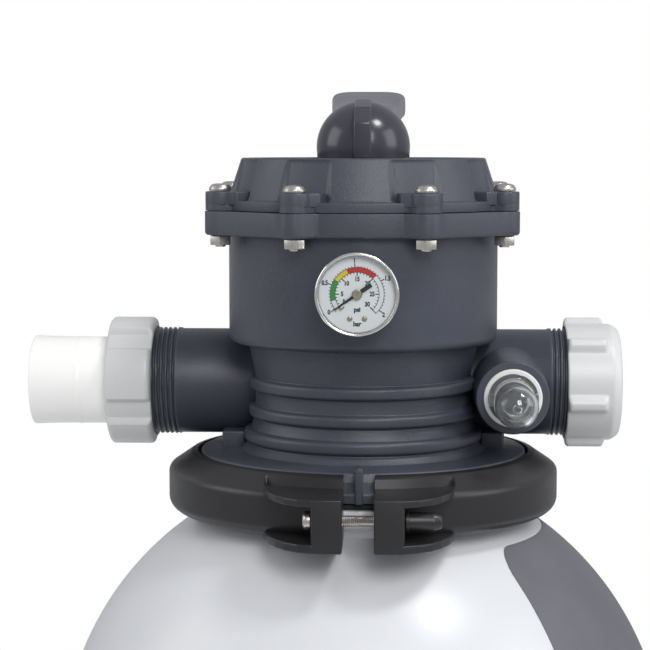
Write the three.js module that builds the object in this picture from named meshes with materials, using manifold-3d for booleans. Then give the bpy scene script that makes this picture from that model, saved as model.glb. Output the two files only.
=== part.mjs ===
import * as THREE from 'three';
import { mergeVertices } from 'three/addons/utils/BufferGeometryUtils.js';
import Module from 'manifold-3d';

const wasm = await Module();
wasm.setup();

// Driving dimensions in millimetres. Heights are measured from the floor, and -Y is the front.
const gap = 0.3;
const tank = {
  radius: 175, wall: 4, shoulderZ: 285, rise: 172, bowlZ: 200, drop: 150,
  neckBore: 74, lipRadius: 101, lipTop: 449, lipEdge: 441.5, lipRoot: 436.5,
};
const base = { floor: 8, foot: 150, seat: 96 };
const drain = { z: 135, boss: 26, face: 172.2, bore: 8, spigot: 13.6, thread: 13 };
const pipe = { outer: 24.7, inner: 22, bottom: 112, top: 470 };
const lateral = { count: 6, z: 101, radius: 9, spigot: 6, from: 34.3, reach: 106 };
const flange = { bottom: 453, top: 468, radius: 101, rim: 92.5 };
const body = {
  top: 604.8, radius: 76.6, shoulder: 529, waist: 61.2, bore: 56, chamber: 70, neck: 72,
  neckBottom: 425, plateBottom: 524, plateTop: 534,
};
const bolt = { circle: 86, offset: 24, boss: 8.2, shank: 2.9, hole: 3.3, seat: 615.7, under: 591.5 };
// The side ports lie behind the valve's axis, and the rear port is on it.
const port = {
  z: 502.5, back: 30, radius: 30.8, crest: 31.3, bore: 24, threadFrom: 108, end: 134,
  from: 14, rearFrom: 50,
};
const tail = { radius: 25.6, socket: 22, collar: 30, end: 195 };
const unionNut = { low: 34, high: 37.4, from: 122.5, end: 149.5 };
const cover = { from: 117.5, ribEnd: 140, side: 144.5, end: 149 };
const lid = { bottom: 605.1, edge: 610.4, top: 634, deck: 631, rim: 69.4, flange: 82.5 };
const shaft = { radius: 12, bore: 12.6, tongue: 6, pinZ: 639, pin: 3 };
const hub = { radius: 26.6, bottom: 633.6, centre: 640 };
const gauge = { x: -1.4, z: 563, radius: 22.3, back: 82, front: 96.5, restAngle: 214 };
const sight = { x: 83.6, z: 502.2, boss: 20.4, face: 44, dome: 11.7, tip: 93.5 };
const gusset = { x: [67, 81.2], y: [-2.5, 32], z: [flange.top - 1, 476.8] };
const clamp = { inner: 94.5, outer: 111.4, gap: 8.5, jaw: 24.5, reach: 135, boltY: 125, boltZ: 449 };
const outward = { left: [-1, 0, 0], right: [1, 0, 0], rear: [0, 1, 0], front: [0, -1, 0] };
const boltAngles = [0, 90, 180, 270].flatMap((q) => [q - bolt.offset, q + bolt.offset]);

const finish = (color, roughness, metalness = 0) =>
  new THREE.MeshStandardMaterial({ color, roughness, metalness });
const slate = finish(0x4b4e58, 0.5);
const gloss = finish(0x4b4950, 0.3);
const black = finish(0x2d2b2b, 0.55);
const grey = finish(0xbebfc0, 0.5);
const white = finish(0xf0eeec, 0.4);
const shell = finish(0xcdcfd0, 0.35);
const steel = finish(0xb8b5ae, 0.3, 1);
const brass = finish(0xb8a878, 0.35, 1);
const rubber = finish(0x1e1e1e, 0.8);
const clear = finish(0xdfe4e8, 0.1);

const group = new THREE.Group();
const radians = (degrees) => (degrees * Math.PI) / 180;

// A closed geometry as a solid with its faces pointing out.
function solid(geometry) {
  const bare = geometry.clone();
  bare.deleteAttribute('normal');
  bare.deleteAttribute('uv');
  const merged = mergeVertices(bare, 1e-4);
  const points = merged.attributes.position.array;
  const corners = merged.index.array;
  const triangles = [];
  let volume = 0;
  const at = (i) => new THREE.Vector3(...points.slice(3 * i, 3 * i + 3));
  for (let i = 0; i < corners.length; i += 3) {
    const [a, b, c] = corners.slice(i, i + 3);
    if (a === b || b === c || c === a) continue;
    triangles.push([a, b, c]);
    volume += at(a).dot(at(b).cross(at(c)));
  }
  if (volume < 0) triangles.forEach((t) => t.reverse());
  const triVerts = new Uint32Array(triangles.flat());
  const vertProperties = new Float32Array(points);
  return new wasm.Manifold(new wasm.Mesh({ numProp: 3, vertProperties, triVerts }));
}

function piece(name, made, material) {
  const { vertProperties, triVerts } = made.asOriginal().simplify(0.05).getMesh();
  const geometry = new THREE.BufferGeometry();
  geometry.setAttribute('position', new THREE.BufferAttribute(vertProperties, 3));
  geometry.setIndex(new THREE.BufferAttribute(triVerts, 1));
  geometry.computeVertexNormals();
  const mesh = new THREE.Mesh(geometry, material);
  mesh.name = name;
  group.add(mesh);
}

const joined = (...parts) => parts.reduce((sum, part) => sum.add(part));

// Profile points [radius, distance] turned about an axis through a point.
function turned(profile, segments = 28, axis = [0, 0, 1], from = [0, 0, 0]) {
  const points = profile.map(([r, z]) => new THREE.Vector2(r, z));
  if (points[0].x > 0 || points.at(-1).x > 0) points.push(points[0].clone());
  const up = new THREE.Vector3(0, 0, 1);
  const turn = new THREE.Quaternion().setFromUnitVectors(up, new THREE.Vector3(...axis));
  const geometry = new THREE.LatheGeometry(points, segments).rotateX(Math.PI / 2);
  return solid(geometry.applyQuaternion(turn).translate(...from));
}

const rod = (radius, low, high, segments, axis, from) =>
  turned([[0, low], [radius, low], [radius, high], [0, high]], segments, axis, from);
const ring = (inner, outer, low, high, segments, axis, from) =>
  turned([[inner, low], [outer, low], [outer, high], [inner, high]], segments, axis, from);

function block([x0, x1], [y0, y1], [z0, z1]) {
  const box = new THREE.BoxGeometry(x1 - x0, y1 - y0, z1 - z0);
  return solid(box.translate((x0 + x1) / 2, (y0 + y1) / 2, (z0 + z1) / 2));
}

// An outline extruded from low to high along the third direction of a view.
const views = {
  top: [[1, 0, 0], [0, 1, 0], [0, 0, 1]],
  side: [[0, 1, 0], [0, 0, 1], [1, 0, 0]],
  front: [[1, 0, 0], [0, 0, 1], [0, -1, 0]],
  left: [[0, 1, 0], [0, 0, -1], [-1, 0, 0]],
  rear: [[-1, 0, 0], [0, 0, 1], [0, 1, 0]],
};
function prism(outline, low, high, view = 'top', from = [0, 0, 0]) {
  const shape = new THREE.Shape(outline.map(([u, v]) => new THREE.Vector2(u, v)));
  const geometry = new THREE.ExtrudeGeometry(shape, { depth: high - low, bevelEnabled: false });
  const basis = views[view].map((v) => new THREE.Vector3(...v));
  geometry.translate(0, 0, low).applyMatrix4(new THREE.Matrix4().makeBasis(...basis));
  return solid(geometry.translate(...from));
}

const turnedBy = (made, degrees) => made.rotate([0, 0, degrees]);
const around = (degrees, radius) =>
  [radius * Math.sin(radians(degrees)), -radius * Math.cos(radians(degrees))];

// Points of an elliptical arc, from one angle above the horizontal to another.
function arc(radius, rise, z, from, to, steps) {
  return Array.from({ length: steps + 1 }, (_, i) => {
    const angle = radians(from + ((to - from) * i) / steps);
    return [radius * Math.cos(angle), z + rise * Math.sin(angle)];
  });
}
const neckAngle = (a, r) => (Math.acos(r / a) * 180) / Math.PI;

// A sector of a disc, used to cut windows and panels.
function sector(inner, outer, middle, half) {
  const angles = [-half, 0, half].map((a) => radians(middle + a));
  const far = angles.map((a) => [outer * Math.sin(a), -outer * Math.cos(a)]);
  return [...far, ...angles.reverse().map((a) => [inner * Math.sin(a), -inner * Math.cos(a)])];
}

// A round outline with equal raised lobes.
function lobes(count, low, high, width, phase) {
  return Array.from({ length: count * 6 }, (_, i) => {
    const step = 360 / count;
    const corner = [-width / 2, -width / 6, width / 6, width / 2, width / 2 + 3, step - width / 2 - 3];
    const angle = radians(phase + Math.floor(i / 6) * step + corner[i % 6]);
    const radius = i % 6 < 4 ? high : low;
    return [radius * Math.cos(angle), radius * Math.sin(angle)];
  });
}

function makeTank() {
  const { radius, wall, shoulderZ, rise, bowlZ, drop, neckBore, lipRadius } = tank;
  const inside = radius - wall;
  const profile = [
    ...arc(radius, drop, bowlZ, -90, 0, 5),
    ...arc(radius, rise, shoulderZ, 0, neckAngle(radius, 88), 5),
    [89, tank.lipRoot], [lipRadius, tank.lipEdge], [lipRadius, tank.lipTop], [neckBore, tank.lipTop],
    ...arc(inside, rise - wall, shoulderZ, neckAngle(inside, neckBore), 0, 4),
    ...arc(inside, drop - wall, bowlZ, 0, -90, 4),
  ];
  profile[0][0] = 0;
  profile.at(-1)[0] = 0;
  const centre = [0, 0, drain.z];
  const boss = rod(drain.boss, 148, drain.face, 16, outward.front, centre);
  const hole = rod(drain.spigot + 0.5, 140, 180, 16, outward.front, centre);
  piece('tank_vessel', turned(profile).add(boss).subtract(hole), shell);
}

function makeBase() {
  const { floor, foot, seat } = base;
  piece('tank_base', turned([
    [0, 0], [foot, 0], [foot + 2, 6], [138, 84], [134, seat], [127.2, seat],
    [130, 82], [144, floor], [0, floor],
  ]), black);
}

function makeDrain() {
  const centre = [0, 0, drain.z];
  const turn = (profile, n) => turned(profile, n, outward.front, centre);
  const { face, bore, spigot, thread } = drain;
  piece('drain_fitting', turn([
    [bore, 146], [spigot, 146], [spigot, face + gap], [21, face + gap], [21, face + 4.5],
    [thread, face + 4.5], [thread, 192], [bore, 192],
  ], 16), grey);
  piece('drain_strainer', turn([
    [0, 120], [12, 120], [12, 145.7], [10, 145.7], [10, 123], [0, 123],
  ], 16), grey);
  piece('drain_cap_gasket', ring(bore, 12.4, 192.3, 194, 16, outward.front, centre), rubber);
  const cap = prism(lobes(8, 16, 17.5, 18, 22.5), 179, 198, 'front', centre);
  const bored = cap.subtract(rod(thread + 0.7, 178, 194.3, 20, outward.front, centre));
  piece('drain_cap', bored, grey);
}

function makeUnderdrain() {
  const { outer, inner, bottom, top } = pipe;
  piece('centre_pipe', ring(inner, outer, bottom, top, 20), white);
  const socket = turned([
    [0, 84], [32, 84], [34, 87], [34, 126], [outer + 0.5, 126], [outer + 0.5, bottom - gap],
    [20, bottom - gap], [20, 90], [0, 90],
  ], 20);
  const centre = [0, 0, lateral.z];
  const angles = Array.from({ length: lateral.count }, (_, i) => (360 / lateral.count) * (i + 0.5));
  const axes = angles.map((a) => [...around(a, 1), 0]);
  const holes = axes.map((axis) => rod(lateral.spigot + 0.5, 15, 40, 8, axis, centre));
  piece('lateral_hub', holes.reduce((sum, hole) => sum.subtract(hole), socket), grey);
  axes.forEach((axis, i) => piece(`lateral_${i + 1}`, turned([
    [0, 24], [lateral.spigot, 24], [lateral.spigot, lateral.from], [lateral.radius, lateral.from],
    [lateral.radius, lateral.reach - 4], [lateral.radius - 4, lateral.reach], [0, lateral.reach],
  ], 8, axis, centre), grey));
}

// One connection: a plain stub, then a threaded end that the union nut or cap turns on.
const ports = [
  [outward.left, [0, port.back, port.z], port.from],
  [outward.right, [0, port.back, port.z], port.from],
  [outward.rear, [0, 0, port.z], port.rearFrom],
];
function stub([axis, centre, from]) {
  const { radius, crest, bore, threadFrom, end } = port;
  return turned([
    [bore, from], [radius, from], [radius, threadFrom], [crest, threadFrom + 0.5], [crest, end], [bore, end],
  ], 24, axis, centre);
}

function makeValveBody() {
  const { top, radius, shoulder, waist, bore, chamber, neck, neckBottom, plateBottom, plateTop } = body;
  const { under, circle, boss, hole } = bolt;
  const outside = turned([
    [0, neckBottom], [neck, neckBottom], [neck, flange.bottom], [flange.radius, flange.bottom],
    [flange.radius, 458.5], [flange.rim, 463.5], [flange.rim, flange.top], [67, flange.top],
    [65.5, 473.5], [68.4, 476.5], [65, 479.5], [62.3, 487.5], [65.4, 490.4], [61.7, 493.4],
    [61.6, 502.9], [65, 506], [61.7, 509.2], [waist + 4, shoulder - 1], [72, shoulder],
    [radius, 533], [radius, under], [lid.flange + 0.6, under],
    [lid.flange + 0.6, top], [0, top],
  ]);
  const lugs = boltAngles.map((a) => rod(boss + 0.6, under, top, 10, [0, 0, 1], [...around(a, circle), 0]));
  const support = block(gusset.x, gusset.y, gusset.z);
  const gussets = [support, support.mirror([1, 0, 0])];
  const rearGusset = block([-7.5, 7.5], [67, 82], [flange.top - 1, port.z - port.radius + 2]);
  const key = block([-2.3, 2.3], [-103, -90], [flange.bottom, flange.top + 1.5]);
  const sightBoss = rod(sight.boss, -14, sight.face, 20, outward.front, [sight.x, 0, sight.z]);
  const gaugeBoss = rod(11, 72, 79, 14, outward.front, [gauge.x, 0, gauge.z]);
  const stubs = ports.map((one) => stub(one));
  let made = joined(outside, ...lugs, ...gussets, rearGusset, key, sightBoss, gaugeBoss, ...stubs);
  const hollow = turned([
    [0, neckBottom - 1], [bore, neckBottom - 1], [bore, plateBottom], [chamber, plateTop],
    [chamber, top + 1], [0, top + 1],
  ]);
  const ways = ports.map(([axis, centre, from]) =>
    rod(port.bore, from - 1, port.end + 1, 24, axis, centre));
  const holes = boltAngles.map((a) =>
    rod(hole, under - 1, top + 1, 8, [0, 0, 1], [...around(a, circle), 0]));
  const groove = ring(72.2, 75.4, top - 3.5, top + 1);
  const gaugeHole = rod(5.3, 60, 80, 10, outward.front, [gauge.x, 0, gauge.z]);
  const sightHole = rod(10, -10, sight.face + 1, 16, outward.front, [sight.x, 0, sight.z]);
  for (const cut of [hollow, ...ways, ...holes, groove, gaugeHole, sightHole]) made = made.subtract(cut);

  // The spider: a seat plate with six windows, an inner tube for the centre pipe, and webs.
  let plate = turned([[0, plateBottom], [57, plateBottom], [71, plateTop], [0, plateTop]]);
  for (let i = 0; i < 6; i++) {
    const window = prism(sector(25, 56, i * 60, 25), plateBottom - 1, plateTop + 1);
    plate = plate.subtract(window);
  }
  const tube = ring(pipe.outer + 0.5, 29, neckBottom, plateBottom + 2, 20);
  const outlet = rod(13, 20, 36, 12, [...around(-60, 1), 0], [0, 0, 485]);
  const webs = [30, 90, 210, 270, 330].map((a) =>
    turnedBy(block([-1.8, 1.8], [-57, -27], [445, plateBottom + 2]), a - 180));
  const way = rod(port.bore, 57, port.end + 1, 24, outward.rear, [0, 0, port.z]);
  const spider = joined(plate, tube, ...webs).subtract(outlet).subtract(way);
  piece('valve_body', made.add(spider), slate);
}

function makeLid() {
  const { circle, boss, hole, seat } = bolt;
  const lugs = boltAngles.map((a) => rod(boss, lid.bottom, seat, 10, [0, 0, 1], [...around(a, circle), 0]));
  const shelves = boltAngles.map((a) => prism(sector(70, circle - 4, a, 8.8), lid.bottom, seat));
  let made = joined(turned([
    [0, lid.bottom], [lid.flange, lid.bottom], [lid.flange, lid.edge], [76.6, lid.edge],
    [lid.rim + 0.4, lid.top - 1], [lid.rim - 1, lid.top], [66, lid.top], [64, lid.deck], [0, lid.deck],
  ]), ...lugs, ...shelves, rod(20, 601, lid.bottom + 1, 24));
  const skin = turned([[74.6, lid.edge], [90, lid.edge], [90, 632.5], [67.9, 632.5]]);
  for (const a of boltAngles) {
    made = made.subtract(skin.intersect(prism(sector(60, 90, a, 10.1), lid.edge + 5.5, 633)));
    made = made.subtract(rod(hole, lid.bottom - 1, seat + 1, 8, [0, 0, 1], [...around(a, circle), 0]));
  }
  made = made.subtract(turned([[20, 604], [66, 604], [64, 622], [60, 625], [20, 625]]));
  piece('valve_lid', made.subtract(rod(shaft.bore, 600, 640, 24)), slate);
  const seal = arc(1.4, 1.4, 603.1, 0, 288, 4).map(([r, z]) => [73.8 + r, z]);
  piece('lid_o_ring', turned(seal), rubber);
}

function makeLidBolts() {
  boltAngles.forEach((a, i) => {
    const at = [...around(a, bolt.circle), 0];
    const { shank, seat, under } = bolt;
    piece(`lid_screw_${i + 1}`, turned([
      [0, under - 6.6], [shank, under - 6.6], [shank, seat + gap],
      [6, seat + gap], [5.8, seat + 2], [3.6, seat + 4.1], [0, seat + 4.2],
    ], 8, [0, 0, 1], at), steel);
    const nut = rod(6.2, under - 5.5, under - gap, 6, [0, 0, 1], at);
    piece(`lid_nut_${i + 1}`, nut.subtract(rod(shank + 0.5, under - 6, under, 8, [0, 0, 1], at)), steel);
  });
}

function makeSelector() {
  const { radius, tongue, pinZ, pin } = shaft;
  let seat = ring(18, 66, body.plateTop + gap, body.plateTop + 2.3, 28);
  for (let i = 0; i < 6; i++) seat = seat.subtract(prism(sector(26, 58, i * 60, 24), 533, 537));
  piece('spider_gasket', seat, rubber);

  const low = body.plateTop + 2.6;
  const high = low + 8.2;
  let rotor = joined(
    rod(66, low, high, 28), rod(16, low, 558, 16, [0, 0, 1], [0, -38, 0]), rod(radius, high - 1, 629, 24),
    block([-tongue, tongue], [-10.5, 10.5], [628, 649]),
  );
  rotor = rotor.subtract(prism(sector(26, 58, 180, 24), low - 1, high + 1));
  rotor = rotor.subtract(rod(13, low - 1, 555, 16, [0, 0, 1], [0, -38, 0]));
  rotor = rotor.subtract(rod(pin + gap, -10, 10, 12, outward.right, [0, 0, pinZ]));
  piece('rotor', rotor, slate);

  const turns = 5;
  const bottom = high + 1.9;
  const top = 599;
  class Helix extends THREE.Curve {
    getPoint(t, target = new THREE.Vector3()) {
      const angle = 2 * Math.PI * turns * t;
      return target.set(17 * Math.cos(angle), 17 * Math.sin(angle), bottom + (top - bottom) * t);
    }
  }
  const wire = Array.from({ length: 4 }, (_, i) => {
    const angle = (Math.PI / 2) * i;
    return new THREE.Vector2(1.5 * Math.cos(angle), 1.5 * Math.sin(angle));
  });
  const coil = new THREE.ExtrudeGeometry(new THREE.Shape(wire), {
    steps: 12 * turns, extrudePath: new Helix(), bevelEnabled: false,
  });
  piece('rotor_spring', solid(coil), steel);
  piece('thrust_washer', ring(13.5, 26.4, lid.deck + gap, hub.bottom - gap, 24), white);
}

function makeHandle() {
  const { radius, bottom, centre } = hub;
  const dome = arc(radius, radius, centre, 0, 90, 5);
  dome.at(-1)[0] = 0;
  const cap = turned([[0, bottom], [radius, bottom], ...dome], 24);
  const pointer = prism([
    [-29.5, bottom + 0.4], [-29.5, 654], [-17, 663], [-2, 667], [-2, 645], [-20, bottom + 0.4],
  ], -5, 5, 'side');
  const lever = prism([
    [4, 648], [30, 648], [70, 650], [118, 656.5], [160, 657], [166, 662], [166, 671],
    [160, 675], [120, 674.5], [70, 668], [30, 664.5], [4, 664],
  ], -30, 30, 'side');
  const plan = [[15, 4], [16, 40], [20, 90], [23, 120], [23, 156], [16, 166]];
  const mirrored = plan.map(([x, y]) => [-x, y]).reverse();
  const grip = lever.intersect(prism([...plan, ...mirrored], 640, 680));
  let made = joined(cap, pointer, grip);
  made = made.subtract(block([-shaft.tongue - gap, shaft.tongue + gap], [-14.5, 14.5], [bottom - 1, 652]));
  made = made.subtract(rod(shaft.pin + 0.2, -30, 30, 12, outward.right, [0, 0, shaft.pinZ]));
  piece('handle', made, gloss);
  piece('handle_pin', rod(shaft.pin, -26, 26, 12, outward.right, [0, 0, shaft.pinZ]), steel);
}

function makeGauge() {
  const { x, z, radius, back, front, restAngle } = gauge;
  const centre = [x, 0, z];
  const turn = (profile, n) => turned(profile, n, outward.front, centre);
  piece('gauge_case', turn([
    [0, 64], [4.8, 64], [4.8, 79.3], [6.5, 79.3], [6.5, back], [radius - 1.5, back], [radius, back + 1.5],
    [radius, front - 0.8], [radius - 0.8, front], [radius - 2, front - 0.4], [radius - 2, front - 0.9],
    [radius - 1.3, front - 0.9], [radius - 1.3, back + 2], [0, back + 2],
  ], 24), steel);
  piece('gauge_dial', rod(radius - 1.8, 89.8, 91, 24, outward.front, centre), white);
  const direction = radians(restAngle);
  const along = (r, w) => [
    r * Math.cos(direction) - w * Math.sin(direction), r * Math.sin(direction) + w * Math.cos(direction)];
  const needle = prism([
    along(16.8, -0.25), along(16.8, 0.25), along(2, 0.7), along(-1, 1.1), along(-9, 1.1),
    along(-9, -1.1), along(-1, -1.1), along(2, -0.7),
  ], 91.7, 92.4, 'front', centre);
  piece('gauge_pointer', needle.add(rod(2.7, 91.4, 93.2, 14, outward.front, centre)), brass);
  piece('gauge_lens', rod(radius - 1.8, 93.9, front - 1.2, 24, outward.front, centre), clear);
}

function makeSightGlass() {
  const { x, z, face, dome, tip } = sight;
  const centre = [x, 0, z];
  const turn = (profile) => turned(profile, 20, outward.front, centre);
  piece('sight_glass_gasket', ring(13, 16.6, face + gap, face + 2, 20, outward.front, centre), white);
  const round = arc(dome, dome, tip - dome, 0, 90, 4);
  const inner = arc(dome - 2, dome - 2, tip - dome, 90, 0, 4);
  round.at(-1)[0] = 0;
  inner[0][0] = 0;
  const rim = [[dome - 2, face + 2.3], [14.4, face + 2.3], [14.4, face + 5], [dome, face + 5]];
  piece('sight_glass', turn([...inner, ...rim, ...round]), clear);
}

// A union: the tail piece seals on the stub's end, and the nut draws it up.
function makeUnion(name, view, axis, phase, back) {
  const centre = [0, back, port.z];
  const { end } = port;
  piece(`${name}_tail`, turned([
    [21, end + gap], [tail.collar, end + gap], [tail.collar, end + 5], [tail.radius, end + 5.5],
    [tail.radius, 180], [tail.radius + 0.6, tail.end], [tail.socket, tail.end], [tail.socket, 164],
    [20, 162], [20, end + gap + 1],
  ], 24, axis, centre), white);
  const outline = lobes(5, unionNut.low, unionNut.high, 44, phase);
  const whole = prism(outline, unionNut.from, unionNut.end, view, centre);
  const thread = rod(port.crest + 0.7, unionNut.from - 1, end + 5.6, 24, axis, centre);
  const mouth = rod(tail.radius + 0.9, end, unionNut.end + 1, 24, axis, centre);
  piece(`${name}_nut`, whole.subtract(thread).subtract(mouth), grey);
}

function makeWasteCap() {
  const centre = [0, port.back, port.z];
  const axis = outward.right;
  const { from, ribEnd, side, end } = cover;
  const seal = [port.end + gap, port.end + 2.3];
  piece('waste_cap_gasket', ring(port.bore, 30.5, ...seal, 24, axis, centre), rubber);
  const round = unionNut.low - 0.2;
  const cap = joined(
    prism(lobes(6, round, unionNut.high + 0.5, 11, 15.5), from, ribEnd, 'side', centre),
    turned([[0, ribEnd], [round, ribEnd], [round, side], [round - 2.8, end], [0, end]], 24, axis, centre),
  );
  const thread = rod(port.crest + 0.7, from - 1, port.end + 2.6, 24, axis, centre);
  piece('waste_cap', cap.subtract(thread), grey);
}

// Each half of the band: a ring section cut at the gap, with a jaw and webs at both ends.
function makeClamp() {
  const { inner, outer, gap: half, jaw, reach, boltY, boltZ } = clamp;
  const band = turned([
    [inner, 462.9], [101.9, 458.5], [101.9, 441.0], [inner - 0.5, 437.4], [inner - 0.5, 434.5],
    [100, 433.5], [107.5, 436], [outer, 443], [outer, 457.5], [98, 466.6], [inner, 467.4],
  ]);
  const keep = block([half, 130], [-reach, reach], [425, 475]);
  const pocket = turned([[inner + 6, 461], [outer + 2, 461], [outer + 2, 470], [inner + 6, 470]]);
  const web = [
    [half, -reach], [jaw + 0.5, -reach], [31, -133.2], [38, -127.5], [42.5, -121.5],
    [47, -112], [50.5, -98], [46, -92], [half, -102.5],
  ];
  const jawAt = (turn) => {
    const made = joined(
      block([half, jaw], [-reach, -103], [435, 461]),
      prism(web, 457.5, 461), prism(web, 433.5, 438),
    );
    const hole = rod(3.6, 0, 60, 10, outward.right, [0, -boltY, boltZ]);
    return turn ? made.subtract(hole).mirror([0, 1, 0]) : made.subtract(hole);
  };
  const room = turned([
    [0, 430], [inner - 0.5, 430], [inner - 0.5, 437.4], [101.9, 441], [101.9, 458.5],
    [inner, 463], [inner, 470], [0, 470],
  ]);
  const pockets = pocket.intersect(block([0, 50], [-reach, reach], [460, 472]));
  const shaped = band.intersect(keep).subtract(pockets);
  const right = joined(shaped, jawAt(false), jawAt(true)).subtract(room);
  piece('clamp_half_right', right, black);
  piece('clamp_half_left', right.mirror([1, 0, 0]), black);
  for (const [place, degrees] of [['front', 0], ['rear', 180]]) {
    const from = [0, -boltY, boltZ];
    const screw = turned([
      [0, -jaw - 4.6], [3.2, -jaw - 4.4], [5, -jaw - 2.6], [5.2, -jaw - gap], [3, -jaw - gap],
      [3, jaw + 12], [2.4, jaw + 12.6], [0, jaw + 12.6],
    ], 10, outward.right, from);
    const nut = turned([
      [0, jaw + 18.6], [3, jaw + 18], [4.8, jaw + 15], [4.8, jaw + 3], [5.2, jaw + 2.5],
      [5.2, jaw + gap], [3.5, jaw + gap], [3.5, jaw + 13.2], [0, jaw + 13.2],
    ], 10, outward.right, from);
    piece(`clamp_bolt_${place}`, turnedBy(screw, degrees), steel);
    piece(`clamp_cap_nut_${place}`, turnedBy(nut, degrees), black);
  }
  piece('tank_o_ring', ring(76, 98, tank.lipTop + gap, flange.bottom - gap), rubber);
}

makeTank();
makeBase();
makeDrain();
makeUnderdrain();
makeValveBody();
makeLid();
makeLidBolts();
makeSelector();
makeHandle();
makeGauge();
makeSightGlass();
makeUnion('return', 'left', outward.left, 12, port.back);
makeUnion('pump', 'rear', outward.rear, 18, 0);
makeWasteCap();
makeClamp();

export default group;
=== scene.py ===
import math

import bmesh
import bpy
import numpy as np
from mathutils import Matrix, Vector


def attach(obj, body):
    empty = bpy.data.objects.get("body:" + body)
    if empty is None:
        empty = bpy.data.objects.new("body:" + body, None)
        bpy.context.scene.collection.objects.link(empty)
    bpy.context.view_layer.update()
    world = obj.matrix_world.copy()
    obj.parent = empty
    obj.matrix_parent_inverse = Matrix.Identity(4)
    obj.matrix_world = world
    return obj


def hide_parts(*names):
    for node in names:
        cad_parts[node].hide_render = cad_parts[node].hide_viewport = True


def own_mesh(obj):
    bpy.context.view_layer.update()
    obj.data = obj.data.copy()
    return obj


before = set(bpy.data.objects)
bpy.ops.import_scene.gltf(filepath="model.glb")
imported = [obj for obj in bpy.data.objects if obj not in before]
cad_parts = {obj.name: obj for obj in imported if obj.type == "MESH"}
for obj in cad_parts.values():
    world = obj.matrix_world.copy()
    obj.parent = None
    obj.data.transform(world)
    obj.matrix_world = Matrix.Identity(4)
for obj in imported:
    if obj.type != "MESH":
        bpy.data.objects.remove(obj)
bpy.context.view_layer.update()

# Sizes are in millimetres from the floor, and the front is -Y. Meshes are made in metres.
# An axis is given as (first direction, second direction, its own direction).
axes = {
    "up": ((1, 0, 0), (0, 1, 0), (0, 0, 1)),
    "left": ((0, -1, 0), (0, 0, 1), (-1, 0, 0)),
    "right": ((0, -1, 0), (0, 0, 1), (1, 0, 0)),
    "front": ((1, 0, 0), (0, 0, 1), (0, -1, 0)),
    "rear": ((1, 0, 0), (0, 0, 1), (0, 1, 0)),
    "side": ((0, 1, 0), (0, 0, 1), (1, 0, 0)),
}
quarter = math.pi / 2
fullTurn = 2 * math.pi


# Points from two distances across an axis and one along it.
def placed(u, v, w, axis="up", centre=(0, 0, 0)):
    a, b, c = (np.array(d, float) for d in axes[axis])
    u, v, w = np.broadcast_arrays(u, v, w)
    return u[..., None] * a + v[..., None] * b + w[..., None] * c + np.array(centre, float)


# Rows of closed rings joined by quads; rows[i, j] is a point. The ends can be flat faces.
def tube(rows, capped=False):
    n, m = rows.shape[:2]
    index = np.arange(n * m).reshape(n, m)
    after = np.roll(index, -1, axis=1)
    quads = np.stack([index[:-1], after[:-1], after[1:], index[1:]], -1).reshape(-1, 4)
    faces = quads.tolist()
    if capped:
        faces += [index[0, ::-1].tolist(), index[-1].tolist()]
    return oriented(rows.reshape(-1, 3), faces, quads)


# The faces turned outward: the sign of the volume about the middle says which way they look.
def oriented(points, faces, quads):
    middle = points.mean(0)
    a, b, c, d = (points[quads[:, k]] - middle for k in range(4))
    volume = (a * np.cross(b, c)).sum() + (a * np.cross(c, d)).sum()
    for face in faces[len(quads):]:
        ring = points[face] - middle
        volume += (np.cross(ring[1:-1], ring[2:]) @ ring[0]).sum()
    return points, faces if volume > 0 else [face[::-1] for face in faces]


# A line through corners (x, y, fillet radius), each fillet a short arc.
def rounded(corners, closed=False, steps=5):
    nearlyStraight, mostOfSide = 1.5, 0.49
    line = []
    count = len(corners)
    for i, (x, y, r) in enumerate(corners):
        here = np.array([x, y], float)
        if r <= 0 or (not closed and i in (0, count - 1)):
            line.append(here)
            continue
        back = np.array(corners[i - 1][:2], float) - here
        ahead = np.array(corners[(i + 1) % count][:2], float) - here
        lengths = np.linalg.norm(back), np.linalg.norm(ahead)
        back, ahead = back / lengths[0], ahead / lengths[1]
        half = math.acos(np.clip(back @ ahead, -1, 1)) / 2
        if half > nearlyStraight:
            line.append(here)
            continue
        reach = min(r / math.tan(half), lengths[0] * mostOfSide, lengths[1] * mostOfSide)
        r = reach * math.tan(half)
        middle = here + (back + ahead) / np.linalg.norm(back + ahead) * r / math.sin(half)
        start, end = here + back * reach - middle, here + ahead * reach - middle
        turn = math.atan2(start[0] * end[1] - start[1] * end[0], start @ end)
        for k in range(steps + 1):
            a = turn * k / steps
            line.append(middle + [start[0] * math.cos(a) - start[1] * math.sin(a),
                                  start[0] * math.sin(a) + start[1] * math.cos(a)])
    return np.array(line)


# A profile (radius, distance) turned about an axis. radius(r, distance, angle) can vary it.
def spin(profile, axis="up", centre=(0, 0, 0), segments=96, radius=None):
    profile = np.array(profile, float)
    if profile[0, 0] > 0 or profile[-1, 0] > 0:
        profile = np.vstack([profile, profile[:1]])
    t = np.arange(segments) * fullTurn / segments
    r, d = (np.repeat(profile[:, k, None], segments, 1) for k in (0, 1))
    t = np.repeat(t[None], len(profile), 0)
    if radius is not None:
        r = radius(r, d, t)
    return tube(placed(r * np.cos(t), r * np.sin(t), d, axis, centre))


# The same line with points no further apart than step.
def finer(line, step):
    out = [line[0]]
    for a, b in zip(line[:-1], line[1:]):
        n = max(1, math.ceil(np.linalg.norm(b - a) / step))
        out += [a + (b - a) * k / n for k in range(1, n + 1)]
    return np.array(out)


# The same line with only every few points where it lies inside a radius, and its last point.
def thinned(line, radius, every):
    last = len(line) - 1
    return np.array([p for i, p in enumerate(line) if p[0] > radius or i % every == 0 or i == last])


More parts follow.
